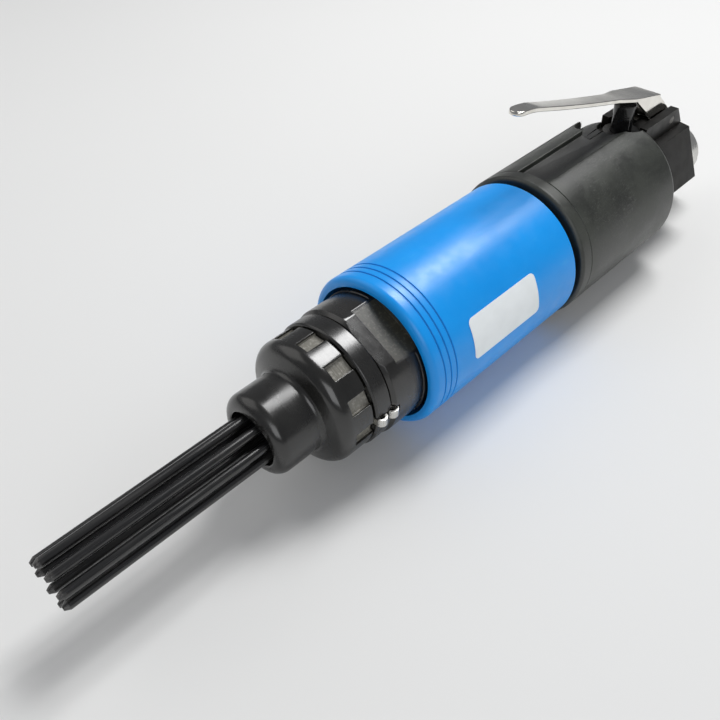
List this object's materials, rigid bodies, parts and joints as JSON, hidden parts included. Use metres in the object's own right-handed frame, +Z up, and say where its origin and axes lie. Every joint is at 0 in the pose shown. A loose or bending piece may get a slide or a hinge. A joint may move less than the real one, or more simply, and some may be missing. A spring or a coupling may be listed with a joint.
{
  "type": "needle scaler",
  "caption": "Inline air needle scaler with a bundle of sliding needles, a hammer barrel in a round grip sleeve, a sprung throttle lever and a threaded air inlet.",
  "frame": {"origin": "middle of the length, on the flat the tool lies on", "axes": "+X along the tool towards the needles, +Y to the side with the label, +Z up towards the lever"},
  "size_m": [0.324, 0.058, 0.0878],
  "materials": {
    "needle_black": "oiled black oxide",
    "black_metal": "glossy black oxide",
    "tool_steel": "ground",
    "spring_steel": "drawn",
    "bright_plate": "nickel plated",
    "bright_steel": "turned",
    "bronze": "machined",
    "rubber": "moulded",
    "blue_sleeve": "satin",
    "label_white": "printed film, bare",
    "dark_casing": "moulded, matt",
    "dark_metal": "dark oxide",
    "stem_black": "glossy"
  },
  "bodies": {
    "tool": {"needle_spring": "spring_steel", "nose_housing": "black_metal", "lock_ring": "black_metal", "lock_clip": "bright_plate", "barrel": "black_metal", "barrel_o_ring": "rubber", "anvil_bush": "bronze", "valve_seat": "tool_steel", "valve_cap": "tool_steel", "grip_sleeve": "blue_sleeve", "label_plate": "label_white", "sleeve_o_ring": "rubber", "collar_ring": "dark_casing", "rear_casing": "dark_casing", "backhead": "dark_metal", "throttle_bush": "dark_metal", "throttle_seat": "bronze", "throttle_spring": "spring_steel", "lever_pin": "tool_steel", "inlet_bush": "bright_steel", "inlet_screen": "bronze"},
    "needle_1_rod": {"needle_1": "needle_black"},
    "needle_2_rod": {"needle_2": "needle_black"},
    "needle_3_rod": {"needle_3": "needle_black"},
    "needle_4_rod": {"needle_4": "needle_black"},
    "needle_5_rod": {"needle_5": "needle_black"},
    "needle_6_rod": {"needle_6": "needle_black"},
    "needle_7_rod": {"needle_7": "needle_black"},
    "needle_8_rod": {"needle_8": "needle_black"},
    "holder": {"needle_holder": "tool_steel"},
    "anvil_hammered": {"anvil": "tool_steel"},
    "hammer": {"piston": "tool_steel"},
    "valve_plate": {"valve_disc": "tool_steel"},
    "lever_arm": {"lever": "bright_plate"},
    "throttle": {"throttle_stem": "stem_black", "stem_o_ring": "rubber", "throttle_ball": "tool_steel"}
  },
  "joints": [
    {"name": "holder_slide", "type": "slide", "parent": "tool", "child": "holder", "axis": [1, 0, 0], "range_m": [0, 0.004], "stiffness_N_per_m": 1500, "springref_m": -0.004, "deforming": ["needle_spring"]},
    {"name": "needle_1_slide", "type": "slide", "parent": "holder", "child": "needle_1_rod", "axis": [1, 0, 0], "range_m": [-0.0045, 0]},
    {"name": "needle_2_slide", "type": "slide", "parent": "holder", "child": "needle_2_rod", "axis": [1, 0, 0], "range_m": [-0.0045, 0]},
    {"name": "needle_3_slide", "type": "slide", "parent": "holder", "child": "needle_3_rod", "axis": [1, 0, 0], "range_m": [-0.0045, 0]},
    {"name": "needle_4_slide", "type": "slide", "parent": "holder", "child": "needle_4_rod", "axis": [1, 0, 0], "range_m": [-0.0045, 0]},
    {"name": "needle_5_slide", "type": "slide", "parent": "holder", "child": "needle_5_rod", "axis": [1, 0, 0], "range_m": [-0.0045, 0]},
    {"name": "needle_6_slide", "type": "slide", "parent": "holder", "child": "needle_6_rod", "axis": [1, 0, 0], "range_m": [-0.0045, 0]},
    {"name": "needle_7_slide", "type": "slide", "parent": "holder", "child": "needle_7_rod", "axis": [1, 0, 0], "range_m": [-0.0045, 0]},
    {"name": "needle_8_slide", "type": "slide", "parent": "holder", "child": "needle_8_rod", "axis": [1, 0, 0], "range_m": [-0.0045, 0]},
    {"name": "anvil_slide", "type": "slide", "parent": "tool", "child": "anvil_hammered", "axis": [1, 0, 0], "range_m": [0, 0.003]},
    {"name": "hammer_slide", "type": "slide", "parent": "tool", "child": "hammer", "axis": [1, 0, 0], "range_m": [-0.026, 0]},
    {"name": "valve_plate_slide", "type": "slide", "parent": "tool", "child": "valve_plate", "axis": [1, 0, 0], "range_m": [-0.0026, 0]},
    {"name": "lever_hinge", "type": "hinge", "parent": "tool", "child": "lever_arm", "pos_m": [-0.12955, 0, 0.0501], "axis": [0, 1, 0], "range_deg": [0, 13], "stiffness_Nm_per_rad": 1.2, "springref_deg": -28.65},
    {"name": "throttle_slide", "type": "slide", "parent": "tool", "child": "throttle", "axis": [0, 0, -1], "range_m": [0, 0.0062], "deforming": ["throttle_spring"]}
  ],
  "couplings": [
    {"joint": "throttle_slide", "follows": "lever_hinge", "m_per_rad": 0.0266}
  ]
}
